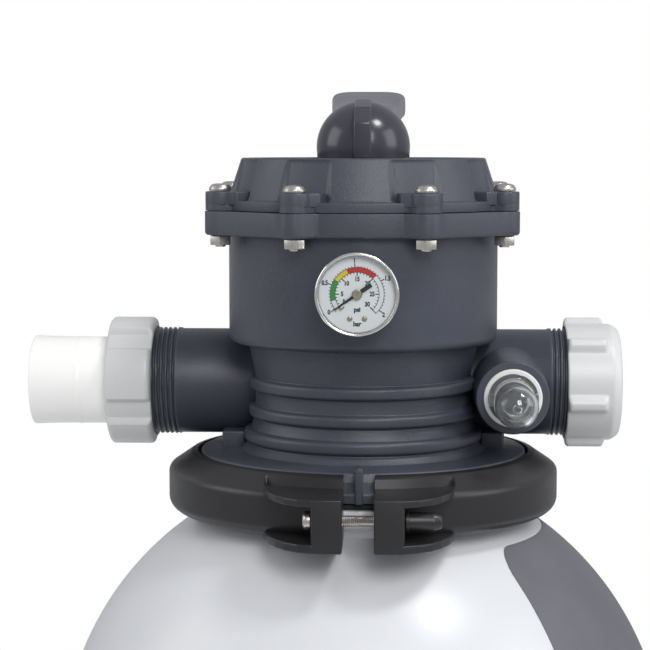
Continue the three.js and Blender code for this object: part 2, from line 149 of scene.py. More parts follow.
# A closed outline moved inwards by its corner normals, stretched at the corners.
def inset(outline, amount):
    tiny, sharpest = 1e-9, 0.4
    back = outline - np.roll(outline, 1, 0)
    ahead = np.roll(outline, -1, 0) - outline
    back /= np.linalg.norm(back, axis=1)[:, None] + tiny
    ahead /= np.linalg.norm(ahead, axis=1)[:, None] + tiny
    normal = np.stack([-(back + ahead)[:, 1], (back + ahead)[:, 0]], -1)
    normal /= np.linalg.norm(normal, axis=1)[:, None] + tiny
    facing = np.einsum("ij,ij->i", normal, np.stack([-back[:, 1], back[:, 0]], -1))
    stretch = 1 / np.clip(facing, sharpest, 1)
    x, y = outline.T
    area = x @ np.roll(y, -1) - y @ np.roll(x, -1)
    return outline + normal * (stretch * amount * (1 if area > 0 else -1))[:, None]


# Rows (distance inwards, height) of a quarter round at the low end, then at the high end.
def edgeRows(low, high, edgeLow, edgeHigh, steps):
    turns = [quarter * k / steps for k in range(steps + 1)]
    rows = [(edgeLow * (1 - math.sin(a)), low + edgeLow * (1 - math.cos(a))) for a in turns]
    return rows + [(edgeHigh * (1 - math.cos(a)), high - edgeHigh * (1 - math.sin(a))) for a in turns]


# An outline raised from low to high with rounded edges.
def slab(outline, low, high, axis="up", centre=(0, 0, 0), edge=0.6):
    rings = []
    for inwards, height in edgeRows(low, high, edge, edge, 4):
        ring = inset(outline, inwards)
        rings.append(placed(ring[:, 0], ring[:, 1], height, axis, centre))
    return tube(np.array(rings), capped=True)


def box(x, y, z, edge=0.8, corner=1.0):
    around = [(x[0], y[0]), (x[1], y[0]), (x[1], y[1]), (x[0], y[1])]
    return slab(rounded([(*point, corner) for point in around], True), z[0], z[1], edge=edge)


def mirrored(shape, axis):
    points, faces = shape
    flipped = points.copy()
    flipped[:, axis] *= -1
    return flipped, [face[::-1] for face in faces]


def turnedBy(shape, degrees):
    points, faces = shape
    a = math.radians(degrees)
    turn = np.array([[math.cos(a), -math.sin(a), 0], [math.sin(a), math.cos(a), 0], [0, 0, 1]])
    return points @ turn.T, faces


# One object from closed shapes, smooth, with sharp edges over the given angle.
def build(name, shapes, material, body, replaces=(), sharp=32):
    points, faces, start = [], [], 0
    for p, f in shapes:
        points.append(p)
        faces += [[i + start for i in face] for face in f]
        start += len(p)
    name = name.title().replace(" ", "")
    mesh = bpy.data.meshes.new(name)
    mesh.from_pydata((np.vstack(points) / 1000).tolist(), [], faces)
    work = bmesh.new()
    work.from_mesh(mesh)
    bmesh.ops.remove_doubles(work, verts=work.verts, dist=1e-6)
    bmesh.ops.dissolve_degenerate(work, edges=work.edges, dist=1e-7)
    work.to_mesh(mesh)
    work.free()
    mesh.shade_smooth()
    mesh.set_sharp_from_angle(angle=math.radians(sharp))
    mesh.materials.append(material)
    made = bpy.data.objects.new(name, mesh)
    bpy.context.scene.collection.objects.link(made)
    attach(made, body)
    if replaces:
        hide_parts(*replaces)
    return made


# A step from 0 to 1 between two values, eased at both ends.
def smooth(x, low, high):
    s = np.clip((x - low) / (high - low), 0, 1)
    return s * s * (3 - 2 * s)


# The distance from the nearest repeat of an angle.
def away(angle, middle, period=fullTurn):
    return np.abs((angle - middle + period / 2) % period - period / 2)


# Materials

# A Math node, with numbers or other nodes' outputs as its inputs.
def maths(tree, operation, *values):
    made = tree.nodes.new("ShaderNodeMath")
    made.operation = operation
    for socket, value in zip(made.inputs, values):
        if isinstance(value, (int, float)):
            socket.default_value = value
        else:
            tree.links.new(value, socket)
    return made.outputs[0]


# Fine moulded grain as a normal, and slow changes of shade and gloss as values.
# Shade is 1 + vary times (0.4 of the fine noise + the coarse noise - their usual sum).
def surfaceGroup():
    fineShare, usualSum = 0.4, 0.7
    group = bpy.data.node_groups.new("moulded surface", "ShaderNodeTree")
    sockets = [("Grain Scale", "INPUT", "NodeSocketFloat"), ("Grain Depth", "INPUT", "NodeSocketFloat"),
               ("Vary", "INPUT", "NodeSocketFloat"), ("Normal", "OUTPUT", "NodeSocketVector"),
               ("Shade", "OUTPUT", "NodeSocketFloat"), ("Gloss", "OUTPUT", "NodeSocketFloat")]
    for name, side, kind in sockets:
        group.interface.new_socket(name, in_out=side, socket_type=kind)
    add, link = group.nodes.new, group.links.new
    given, out = add("NodeGroupInput"), add("NodeGroupOutput")
    place = add("ShaderNodeTexCoord")
    grain, cloud, speck = (add("ShaderNodeTexNoise") for _ in range(3))
    settings = ((grain, "Detail", 3), (grain, "Roughness", 0.6), (cloud, "Scale", 22),
                (cloud, "Detail", 4), (speck, "Scale", 420), (speck, "Detail", 2))
    for node, socket, value in settings:
        node.inputs[socket].default_value = value
    for node in (grain, cloud, speck):
        link(place.outputs["Object"], node.inputs["Vector"])
    link(given.outputs["Grain Scale"], grain.inputs["Scale"])
    bump = add("ShaderNodeBump")
    bump.inputs["Distance"].default_value = 0.0002
    link(given.outputs["Grain Depth"], bump.inputs["Strength"])
    link(grain.outputs["Fac"], bump.inputs["Height"])
    link(bump.outputs["Normal"], out.inputs["Normal"])
    both = maths(group, "MULTIPLY_ADD", speck.outputs["Fac"], fineShare, cloud.outputs["Fac"])
    centred = maths(group, "SUBTRACT", both, usualSum)
    vary = given.outputs["Vary"]
    link(maths(group, "MULTIPLY_ADD", centred, vary, 1.0), out.inputs["Shade"])
    link(maths(group, "MULTIPLY", centred, vary), out.inputs["Gloss"])
    return group


surface = surfaceGroup()


# Screen values 0 to 255 as linear colour.
def linear(rgb):
    c = np.array(rgb, float) / 255
    return tuple(np.where(c <= 0.04045, c / 12.92, ((c + 0.055) / 1.055) ** 2.4).tolist()) + (1.0,)


# grain is (scale, depth), and vary is how much the shade and gloss change.
def finish(name, rgb, roughness, metallic=0.0, grain=(900, 0.1), vary=0.15, **values):
    made = bpy.data.materials.new(name)
    made.use_nodes = True
    tree = made.node_tree
    shader = tree.nodes["Principled BSDF"]
    use = tree.nodes.new("ShaderNodeGroup")
    use.node_tree = surface
    use.inputs["Grain Scale"].default_value = grain[0]
    use.inputs["Grain Depth"].default_value = grain[1]
    use.inputs["Vary"].default_value = vary
    tint = tree.nodes.new("ShaderNodeMix")
    tint.data_type = "RGBA"
    tint.blend_type = "MULTIPLY"
    tint.inputs["Factor"].default_value = 1.0
    tint.inputs["A"].default_value = linear(rgb)
    tree.links.new(use.outputs["Shade"], tint.inputs["B"])
    tree.links.new(tint.outputs["Result"], shader.inputs["Base Color"])
    rough = maths(tree, "ADD", use.outputs["Gloss"], roughness)
    rough.node.use_clamp = True
    tree.links.new(rough, shader.inputs["Roughness"])
    tree.links.new(use.outputs["Normal"], shader.inputs["Normal"])
    shader.inputs["Metallic"].default_value = metallic
    for key, value in values.items():
        shader.inputs[key.replace("_", " ")].default_value = value
    made.diffuse_color = linear(rgb)
    return made


looks = {
    "slate": finish("slate moulded plastic", (64, 67, 78), 0.36, grain=(1300, 1.0), vary=0.35),
    "handle": finish("handle plastic", (58, 57, 67), 0.22, grain=(700, 0.05), vary=0.12),
    "clamp": finish("clamp plastic", (35, 33, 35), 0.36, grain=(1100, 0.22), vary=0.25),
    "shell": finish("tank shell", (214, 215, 218), 0.3, grain=(300, 0.05), vary=0.05),
    "fitting": finish("grey fitting plastic", (208, 208, 208), 0.36, grain=(800, 0.1), vary=0.08),
    "white": finish("white pipe plastic", (251, 250, 247), 0.32, grain=(500, 0.05), vary=0.03),
    "steel": finish("stainless", (200, 195, 188), 0.3, metallic=1.0, grain=(1400, 0.15), vary=0.2),
    "chrome": finish("plated gauge case", (225, 224, 220), 0.14, metallic=1.0, grain=(500, 0.03), vary=0.1),
    "brass": finish("pointer hub brass", (190, 180, 156), 0.28, metallic=1.0, grain=(1400, 0.1), vary=0.2),
    "dial": finish("dial white", (250, 251, 253), 0.5, grain=(500, 0.0), vary=0.02),
    "ink": finish("print black", (22, 22, 25), 0.5, grain=(500, 0.0), vary=0.05),
    "red": finish("print red", (218, 38, 36), 0.5, grain=(500, 0.0), vary=0.05),
    "green": finish("print green", (44, 158, 58), 0.5, grain=(500, 0.0), vary=0.05),
    "yellow": finish("print yellow", (246, 218, 36), 0.5, grain=(500, 0.0), vary=0.05),
    "rubber": finish("seal rubber", (36, 36, 37), 0.6, grain=(900, 0.2), vary=0.3),
    "washer": finish("white washer", (226, 226, 222), 0.45, grain=(700, 0.08), vary=0.05),
    "foot": finish("foot plastic", (52, 52, 55), 0.5, grain=(1000, 0.3), vary=0.3),
    "label": finish("plain label", (98, 98, 104), 0.5, grain=(200, 0.05), vary=0.5),
    "clear": finish("clear plastic", (250, 252, 252), 0.04, grain=(300, 0.01), vary=0.01,
                    Transmission_Weight=0.95, IOR=1.49),
}


# Flat clear plastic: mostly see-through, with reflections that grow towards the edge.
def lensFinish():
    made = bpy.data.materials.new("clear lens")
    made.use_nodes = True
    tree = made.node_tree
    add, link = tree.nodes.new, tree.links.new
    tree.nodes.remove(tree.nodes["Principled BSDF"])
    through, shine = add("ShaderNodeBsdfTransparent"), add("ShaderNodeBsdfGlossy")
    through.inputs["Color"].default_value = (0.97, 0.98, 0.98, 1)
    shine.inputs["Roughness"].default_value = 0.05
    amount, haze = add("ShaderNodeFresnel"), add("ShaderNodeTexNoise")
    amount.inputs["IOR"].default_value = 1.4
    haze.inputs["Scale"].default_value = 60
    place, spread = add("ShaderNodeTexCoord"), add("ShaderNodeMapRange")
    spread.inputs["To Min"].default_value = 0.7
    link(place.outputs["Object"], haze.inputs["Vector"])
    link(haze.outputs["Fac"], spread.inputs["Value"])
    mix = add("ShaderNodeMixShader")
    link(maths(tree, "MULTIPLY", amount.outputs["Fac"], spread.outputs["Result"]), mix.inputs["Fac"])
    link(through.outputs[0], mix.inputs[1])
    link(shine.outputs[0], mix.inputs[2])
    link(mix.outputs[0], tree.nodes["Material Output"].inputs["Surface"])
    return made


looks["lens"] = lensFinish()
nodeLook = {
    "tank_o_ring": "rubber", "lid_o_ring": "rubber", "spider_gasket": "rubber", "waste_cap_gasket": "rubber",
    "drain_cap_gasket": "rubber", "rotor": "slate", "rotor_spring": "steel", "thrust_washer": "washer",
    "centre_pipe": "white", "drain_strainer": "fitting", "lateral_hub": "fitting",
}
for name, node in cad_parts.items():
    node.data.materials.clear()
    node.data.materials.append(looks[nodeLook.get(name, "fitting")])
print("materials made")

# Tank: an elliptical dome and bowl round a straight wall, with a flanged neck
tank = {"radius": 175, "wall": 4, "shoulder": 285, "rise": 172, "bowlTop": 200, "drop": 150,
        "neck": 90, "flange": 101, "bore": 74, "top": 449}
drain = {"height": 135, "boss": 30, "face": 172.2, "hole": 14.1}
drainSpot = (0, 0, drain["height"])


# Corners along part of an ellipse, from one angle in degrees to another.
def arc(radius, rise, z, start, end, steps):
    a = np.radians(np.linspace(start, end, steps + 1))
    return [(radius * math.cos(t), z + rise * math.sin(t), 0) for t in a]


def domeRadius(z):
    return tank["radius"] * np.sqrt(np.clip(1 - ((z - tank["shoulder"]) / tank["rise"]) ** 2, 0, 1))


innerRadius = tank["radius"] - tank["wall"]
innerRise, innerDrop = tank["rise"] - tank["wall"], tank["drop"] - tank["wall"]
bottom = tank["bowlTop"] - tank["drop"]
neckAngle = math.degrees(math.acos(tank["neck"] / tank["radius"]))
boreAngle = math.degrees(math.acos(tank["bore"] / innerRadius))
outside = (arc(tank["radius"], tank["drop"], tank["bowlTop"], -90, 0, 30)[1:]
           + arc(tank["radius"], tank["rise"], tank["shoulder"], 0, neckAngle, 34))
inside = (arc(innerRadius, innerRise, tank["shoulder"], boreAngle, 0, 30)
          + arc(innerRadius, innerDrop, tank["bowlTop"], 0, -90, 30)[:-1])
neckLine = [(90.5, 436.5, 3), (98.5, 439.5, 2.5), (tank["flange"], 443, 2), (tank["flange"], tank["top"], 1),
            (tank["bore"], tank["top"], 1)]
tankLine = rounded([(0, bottom, 0)] + outside + neckLine + inside + [(0, bottom + tank["wall"], 0)])
bossLine = rounded([(0, 140, 0), (drain["boss"], 140, 0), (drain["boss"], 160, 0), (26.5, 166, 4),
                    (26, drain["face"], 1.2), (drain["hole"], drain["face"], 0), (drain["hole"], 150, 0),
                    (0, 150, 0)])
build("tank shell", [spin(tankLine, segments=160), spin(bossLine, "front", drainSpot, 64)],
      looks["shell"], "root", ["tank_vessel"], sharp=40)

# A plain label wrapped on the dome, at the right. Its width is measured at the radius wrap.
label = {"middle": 84, "half": 40, "top": 424, "bottom": 330, "corner": 14, "thick": 0.35,
         "wrap": 120, "sunk": 0.3, "lean": 0.6}
halfWidth = math.radians(label["half"]) * label["wrap"]
halfHeight = (label["top"] - label["bottom"]) / 2
labelSigns = [(-1, -1), (1, -1), (1, 1), (-1, 1)]
edgeLine = rounded([(u * halfWidth, v * halfHeight, label["corner"]) for u, v in labelSigns], True, 8)
edgeLine = finer(np.vstack([edgeLine, edgeLine[:1]]), 4)[:-1]
layers = [(share, label["thick"]) for share in np.linspace(0, 1, 24)]
rows = []
for share, lift in layers + [(1, -label["sunk"]), (0, -label["sunk"])]:
    u, v = (edgeLine * share).T
    z = (label["top"] + label["bottom"]) / 2 + v
    turn = math.radians(label["middle"]) + u / label["wrap"]
    r = domeRadius(z) + lift
    rows.append(placed(r * np.sin(turn), -r * np.cos(turn), z + lift * label["lean"]))
build("plain label", [tube(np.array(rows))], looks["label"], "root", sharp=50)

# Foot
foot = {"height": 96, "ribs": 12, "firstRib": 15, "ribHalf": 2.5, "floor": 8}
footLine = rounded([(0, 0, 0), (150, 0, 3), (152, 7, 3), (147, 14, 3), (138.5, 84, 3),
                    (134.5, foot["height"], 2), (127.2, foot["height"], 1), (130, 82, 2),
                    (144, foot["floor"], 2), (0, foot["floor"], 0)])
footRib = rounded([(-153, 6, 2), (-143.5, 78, 2), (-136, 78, 0), (-142, 6, 0)], True)
ribs = [turnedBy(slab(footRib, -foot["ribHalf"], foot["ribHalf"], "side", edge=0.8),
                 foot["firstRib"] + 360 // foot["ribs"] * i) for i in range(foot["ribs"])]
build("tank foot", [spin(footLine, segments=128)] + ribs, looks["foot"], "root",
      ["tank_base"])


# The radius with raised lobes between two distances. All angles are in degrees: width is a
# lobe's, phase is the first lobe's middle, and soft is the width of a lobe's side.
def lobed(count, low, high, width, phase, soft, start, end, fade=2.5):
    def radius(r, d, t):
        off = np.degrees(away(t, math.radians(phase), fullTurn / count))
        raised = 1 - smooth(off, width / 2 - soft / 2, width / 2 + soft / 2)
        beyond = np.clip(np.maximum(start + fade - d, d - (end - fade)), 0, fade)
        ends = np.sqrt(np.clip(1 - beyond ** 2 / fade ** 2, 0, 1))
        outer = smooth(r, low - 3.2, low - 0.2)
        within = (d >= start - 0.01) & (d <= end + 0.01)
        return r + raised * ends * outer * (high - low) * within
    return radius


# The radius of a screw thread: broad crests and narrow grooves that wind by one pitch a turn.
def threaded(root, crest, start, end, pitch, groove=0.36, fade=1.6):
    def radius(r, d, t):
        phase = ((d - pitch * t / fullTurn) / pitch) % 1.0
        dip = 1 - smooth(np.abs(phase - 0.5), groove * 0.25, groove)
        between = smooth(d, start, start + fade) * (1 - smooth(d, end - fade, end))
        level = crest - (crest - root) * dip * between
        return np.where((d >= start - 0.01) & (d <= end + 0.01) & (r > root - 0.1), level, r)
    return radius


fittingLine = rounded([(8, 146, 0), (13.6, 146, 0), (13.6, 172.5, 0), (21, 172.5, 0.8), (21, 176.7, 0.8),
                       (13, 176.7, 0.6), (13, 192, 0.6), (8, 192, 0.6)])
build("drain fitting", [spin(fittingLine, "front", drainSpot, 48)], looks["fitting"], "root",
      ["drain_fitting"])
drainCap = {"radius": 16, "lobe": 17.5, "from": 179, "end": 198, "lobes": 8}
capLine = rounded([(0, 194.3, 0), (13.7, 194.3, 0), (13.7, drainCap["from"], 0),
                   (drainCap["radius"], drainCap["from"], 0.6), (drainCap["radius"], drainCap["end"], 2),
                   (0, drainCap["end"], 0)])
capLobes = lobed(drainCap["lobes"], drainCap["radius"], drainCap["lobe"], 18, 22.5, 8,
                 drainCap["from"], drainCap["end"] - 1)
build("drain cap", [spin(finer(capLine, 0.8), "front", drainSpot, 96, capLobes)],
      looks["fitting"], "drain_cap", ["drain_cap"])
print("tank made")

# Valve body
valve = {"wall": 76.6, "flange": 83.1, "facet": 87.2, "boss": 8.8, "boltCircle": 86, "boltTurn": 24,
         "base": 453, "under": 591.5, "top": 604.8}
boltAngles = [side + turn for side in (0, 90, 180, 270) for turn in (-valve["boltTurn"], valve["boltTurn"])]
boltCircle = valve["boltCircle"]


# The radius round a flange with bosses, and flats between them where facet isn't 0. Its
# corners are eased by averaging neighbours.
def bossOutline(base, boss, blur, facet):
    steps, reachOfBoss, halfFlat = 1440, 0.5, math.radians(21)
    t = np.arange(steps) * fullTurn / steps
    r = np.full(steps, float(base))
    for a in boltAngles:
        off = away(t, math.radians(a - 90))
        within = boss ** 2 - (boltCircle * np.sin(off)) ** 2
        reach = boltCircle * np.cos(off) + np.sqrt(np.clip(within, 0, None))
        r = np.where((within > 0) & (off < reachOfBoss), np.maximum(r, reach), r)
    if facet:
        between = away(t, math.pi / 4, quarter)
        r = np.where(between < halfFlat, np.maximum(r, facet / np.cos(between)), r)
    kernel = np.hanning(blur + 2)[1:-1]
    kernel /= kernel.sum()
    r = np.convolve(np.concatenate([r[-blur:], r, r[:blur]]), kernel, "same")[blur:-blur]
    return t, r


def bossRing(base, boss, low, high, edgeLow, edgeHigh, blur=9, facet=0, inner=60):
    t, r = bossOutline(base, boss, blur, facet)
    rows = [(r - inwards, height) for inwards, height in edgeRows(low, high, edgeLow, edgeHigh, 5)]
    rows = [(inner, low)] + rows + [(inner, high), (inner, low)]
    return tube(np.array([placed(q * np.cos(t), q * np.sin(t), z) for q, z in rows]))


bodyLine = rounded([
    (0, 425, 0), (72, 425, 1), (72, valve["base"], 0), (101, valve["base"], 0.8), (101, 458, 1.5),
    (94, 463.2, 1.5), (92.5, 468, 1.2), (70, 468, 1.5), (65.2, 472.8, 1), (68.2, 473.4, 2.4),
    (68.2, 479.6, 2.4), (64.2, 480.4, 0.8), (62.4, 487, 0.8), (65.4, 487.5, 2.4), (65.4, 493.5, 2.4),
    (61.7, 494, 0.8), (61.6, 502.4, 0.8), (65, 502.9, 2.4), (65, 509.1, 2.4), (61.6, 509.8, 0.8),
    (65.7, 529.3, 1.2), (valve["wall"], 529.8, 4.5), (valve["wall"], 600, 0), (0, 600, 0)])
shapes = [spin(bodyLine, segments=160),
          bossRing(valve["flange"], valve["boss"], valve["under"], valve["top"], 2.0, 0.4, 27,
                   valve["facet"])]

# The alignment key at the front, and the blocks between the flange and the ports
key = {"half": 2.1, "top": 472, "from": 90, "to": 103}
keyLine = rounded([(-key["half"], valve["base"], 0), (key["half"], valve["base"], 0),
                   (key["half"], key["top"], 2), (-key["half"], key["top"], 2)], True)
shapes.append(slab(keyLine, key["from"], key["to"], "front", edge=0.7))
gusset = {"x": (67, 81.2), "y": (-2.5, 32), "z": (466, 476.8)}
for side in (-1, 1):
    shapes.append(box(sorted(side * x for x in gusset["x"]), gusset["y"], gusset["z"], 1.0, 2))
rearGusset = {"x": (-7.5, 7.5), "y": (66, 82), "z": (466, 480)}
shapes.append(box(rearGusset["x"], rearGusset["y"], rearGusset["z"], 0.5, 2))

# The side ports lie behind the valve's axis, and the rear port is on it
port = {"height": 502.5, "back": 30, "bore": 24, "pocket": 60, "radius": 30.8, "crest": 31.3,
        "end": 134, "pitch": 2.85}
sidePort, rearPort = (0, port["back"], port["height"]), (0, 0, port["height"])
portThread = threaded(30.0, 31.4, 108.3, 133, port["pitch"])
for axis, centre, start in (("left", sidePort, 14), ("right", sidePort, 14), ("rear", rearPort, 50)):
    stem = [(0, port["pocket"], 0), (port["bore"], port["pocket"], 0), (port["bore"], port["end"], 0.8),
            (30.2, port["end"], 0.6), (port["crest"], 132.8, 0.4)]
    thread = finer(np.array([(port["crest"], 132.6), (port["crest"], 107.8)]), 0.35)
    root = [(port["radius"], 107, 0), (port["radius"], start, 0), (0, start, 0)]
    portLine = np.vstack([rounded(stem, steps=3), thread, rounded(root)])
    shapes.append(spin(portLine, axis, centre, 112, portThread))

# Bosses for the sight glass and the gauge
sight = {"x": 83.6, "z": 502.2, "boss": 20.4, "face": 44, "hole": 10}
sightSpot = (sight["x"], 0, sight["z"])
sightBoss = rounded([(0, -14, 0), (23.5, -14, 0), (21.6, 4, 0), (20.9, 26, 8), (sight["boss"], 43.2, 0.8),
                     (19.8, sight["face"], 0.5), (sight["hole"], sight["face"], 0), (sight["hole"], 26, 0),
                     (0, 26, 0)])
shapes.append(spin(sightBoss, "front", sightSpot, 64))
gauge = {"x": -1.4, "z": 563, "rim": 22.3, "barrel": 21.4, "inner": 20.9, "front": 96.5, "back": 82,
         "dial": 91, "restAngle": 214}
gaugeSpot = (gauge["x"], 0, gauge["z"])
gaugeBoss = rounded([(0, 60, 0), (14, 60, 0), (12.5, 76, 2), (11, 79, 0.8), (0, 79, 0)])
shapes.append(spin(gaugeBoss, "front", gaugeSpot, 48))
build("valve body", shapes, looks["slate"], "root", ["valve_body"], sharp=38)
sealLine = rounded([(76, 449.3, 0.5), (98, 449.3, 1.2), (98, 452.8, 1.2), (76, 452.8, 0.5)])
build("tank seal", [spin(sealLine, segments=128)], looks["rubber"], "root", ["tank_o_ring"])

# Lid: a cone with eight sunk panels behind the screw bosses. Panels are shallower upward,
# and floor and step are degrees from a screw.
lid = {"depth": 2.7, "upper": 0.8, "floor": 9.0, "step": 12.2, "low": 605.2, "brim": 610.2, "top": 634,
       "pillar": 8.2, "pillarHalf": 8.8}


def lidRadius(r, d, t):
    near = np.full(t.shape, 360.0)
    for a in boltAngles:
        near = np.minimum(near, np.degrees(away(t, math.radians(a - 90))))
    sunk = 1 - smooth(near, lid["floor"], lid["step"])
    depth = lid["depth"] - (lid["depth"] - lid["upper"]) * np.clip((d - 610) / 23, 0, 1)
    return r - depth * sunk * smooth(d, 609.5, 610.6) * (1 - smooth(d, 632.4, 633.6)) * smooth(r, 67.5, 68.2)


lidLine = finer(rounded([(0, lid["low"], 0), (78, lid["low"], 0), (78, lid["brim"], 0), (76.8, 611.2, 1),
                         (69.5, 633.4, 0.9), (68.7, lid["top"], 0.5), (66, lid["top"], 0.6),
                         (64.5, 631, 1.2), (0, 631, 0)]), 1.2)
lidShapes = [spin(thinned(lidLine, 63, 12), segments=720, radius=lidRadius),
             bossRing(82.5, lid["pillar"], 605.1, 610.4, 0.3, 0.7)]
half = math.radians(lid["pillarHalf"])
for a in boltAngles:
    inner = [(r * math.sin(half), -r * math.cos(half), fillet) for r, fillet in ((70, 0), (81.5, 1.5))]
    around = np.radians(np.linspace(100, -100, 25))
    pillar = [(lid["pillar"] * math.sin(t), -boltCircle - lid["pillar"] * math.cos(t), 0) for t in around]
    outline = inner + pillar + [(-x, y, r) for x, y, r in inner[::-1]]
    lidShapes.append(turnedBy(slab(rounded(outline, True)[::-1], 608, 615.7, edge=0.9), a))
build("valve lid", lidShapes, looks["slate"], "root", ["valve_lid"], sharp=38)

# Lid screws and nuts
screw = {"shank": 2.9, "head": 6.2, "from": 585, "seat": 616}
nut = {"corner": 6.2, "low": 586, "high": 591.2}
headLine = rounded([(0, screw["from"], 0), (2.6, screw["from"], 0), (screw["shank"], 585.6, 0),
                    (screw["shank"], screw["seat"], 0), (screw["head"], screw["seat"], 0.3),
                    (screw["head"], 617.4, 0.7), (5, 619.4, 2), (2.3, 620.1, 0.4), (1.6, 617.6, 0),
                    (0, 617.4, 0)])
hexagon = [(nut["corner"] * math.cos(t), nut["corner"] * math.sin(t), 0.35)
           for t in np.radians(np.arange(6) * 60 + 30)]
for i, a in enumerate(boltAngles, 1):
    spot = (boltCircle * math.sin(math.radians(a)), -boltCircle * math.cos(math.radians(a)), 0)
    build(f"lid screw {i}", [spin(headLine, centre=spot, segments=40)], looks["steel"], "root",
          [f"lid_screw_{i}"])
    build(f"lid nut {i}", [slab(rounded(hexagon, True, 3), nut["low"], nut["high"], centre=spot, edge=0.5)],
          looks["steel"], "root", [f"lid_nut_{i}"])
print("valve body and lid made")

# Handle: domed hub, pointer rib and grip
handle = {"hub": 26.6, "rise": 26.3, "middle": 640, "pin": 639, "pinRadius": 3, "ribHalf": 5,
          "squareness": 0.42, "shift": 0.8, "spare": 0.4}
hubLine = rounded([(0, 633.6, 0), (26.2, 633.6, 0.8), (handle["hub"], handle["middle"], 1)]
                  + arc(handle["hub"], handle["rise"], handle["middle"], 4, 90, 20))
hubLine[-1, 0] = 0
ribLine = rounded([(-29.5, 633.9, 0.6), (-29.5, 654, 2.5), (-17.5, 662.6, 4), (-2, 667, 3), (4, 667, 1),
                   (4, 634, 0.6)], True)
rib = slab(ribLine, -handle["ribHalf"], handle["ribHalf"], "side", edge=1.6)
# Sections of the grip: distance behind the axis, half width, height of the middle, half thickness
gripSections = [
    (2, 10, 656, 7), (14, 15, 656.2, 8), (30, 16.2, 656.3, 7.6), (50, 17, 657, 7.6), (70, 18, 658.6, 8.2),
    (95, 20.2, 662, 9), (118, 22.3, 665.4, 9.2), (140, 23, 666, 9.1), (154, 22.8, 666.2, 8.7),
    (160, 21.6, 666.3, 8.1), (163.6, 19.6, 666.4, 7), (165.4, 17, 666.5, 5.4), (166, 13, 666.5, 3)]
t = np.linspace(0, fullTurn, 56, endpoint=False)
across = np.sign(np.cos(t)) * np.abs(np.cos(t)) ** handle["squareness"]
upward = np.sign(np.sin(t)) * np.abs(np.sin(t)) ** handle["squareness"]
rows = [placed(handle["shift"] + (wide + handle["spare"]) * across, y, z + tall * upward)
        for y, wide, z, tall in gripSections]
build("handle", [spin(hubLine, segments=112), rib, tube(np.array(rows), capped=True)], looks["handle"],
      "handle", ["handle"], sharp=40)
pinLine = rounded([(0, -26.3, 0), (handle["pinRadius"], -26.3, 0.4), (handle["pinRadius"], 26.3, 0.4),
                   (0, 26.3, 0)])
build("handle pin", [spin(pinLine, "right", (0, 0, handle["pin"]), 32)], looks["steel"], "handle",
      ["handle_pin"])

# Rotor spring, made at one length; the real one shortens against the lid as the rotor lifts
spring = {"coil": 17, "wire": 1.5, "turns": 5, "low": 546.7, "high": 599, "lift": 5.5}
along = np.linspace(0, 1, spring["turns"] * 40 + 1)
angle = (along * spring["turns"] * fullTurn)[:, None]
aroundWire = np.linspace(0, fullTurn, 12, endpoint=False)[None]
reach = spring["coil"] + spring["wire"] * np.cos(aroundWire)
height = (spring["low"] + (spring["high"] - spring["low"]) * along)[:, None]
rows = placed(reach * np.cos(angle), reach * np.sin(angle), height + spring["wire"] * np.sin(aroundWire))
coil = build("rotor spring", [tube(rows, capped=True)], looks["steel"], "root", ["rotor_spring"])
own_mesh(coil)

# Pressure gauge
caseLine = rounded([
    (0, 64, 0), (4.8, 64, 0), (4.8, 79.3, 0), (6.5, 79.3, 0.3), (6.5, gauge["back"], 0),
    (20.6, gauge["back"], 1.5), (gauge["barrel"], 84, 0.8), (gauge["barrel"], 92.4, 0.4),
    (gauge["rim"], 93, 0.5), (gauge["rim"], 95.6, 0.9), (21.6, gauge["front"], 0.6), (20.7, 96.2, 0.4),
    (20.5, 95.2, 0.2), (gauge["inner"], 91.4, 0), (gauge["inner"], 84, 0), (0, 84, 0)])
build("gauge case", [spin(caseLine, "front", gaugeSpot, 128)], looks["chrome"], "root",
      ["gauge_case"])
dialLine = rounded([(0, 89.8, 0), (20.6, 89.8, 0), (20.6, 90.4, 0.1), (20.0, gauge["dial"], 0.2),
                    (0, gauge["dial"], 0)])
build("gauge dial", [spin(dialLine, "front", gaugeSpot, 96)], looks["dial"], "root",
      ["gauge_dial"])

# The dial's print. Angles are in degrees, anticlockwise from the right. Heights are above the
# dial's face.
scale = {"start": 225, "perPsi": 9, "psiRadius": 11.6, "barStart": 225.4, "perBarStep": 6.54,
         "barRadius": 14.2, "barFrom": 221, "print": 0.01}


def polar(radius, degrees):
    return radius * math.cos(math.radians(degrees)), radius * math.sin(math.radians(degrees))


# A point (along, across) of a line that starts at the dial's middle and points at an angle.
def turnedPoint(r, w, angle):
    c, s = math.cos(angle), math.sin(angle)
    return r * c - w * s, r * s + w * c


def plate(outline, height):
    outline = np.array(outline, float)
    ends = [placed(outline[:, 0], outline[:, 1], gauge["dial"] + d, "front", gaugeSpot)
            for d in (scale["print"], height)]
    return tube(np.array(ends), capped=True)


def band(inner, outer, start, end, height=0.05):
    a = np.radians(np.linspace(start, end, max(2, int(abs(end - start) / 2) + 1)))
    there = np.stack([outer * np.cos(a), outer * np.sin(a)], -1)
    back = np.stack([inner * np.cos(a), inner * np.sin(a)], -1)[::-1]
    return plate(np.vstack([there, back]), height)


def tick(degrees, start, end, width):
    line = [(start, -width / 2), (end, -width / 2), (end, width / 2), (start, width / 2)]
    return plate([turnedPoint(r, w, math.radians(degrees)) for r, w in line], 0.07)


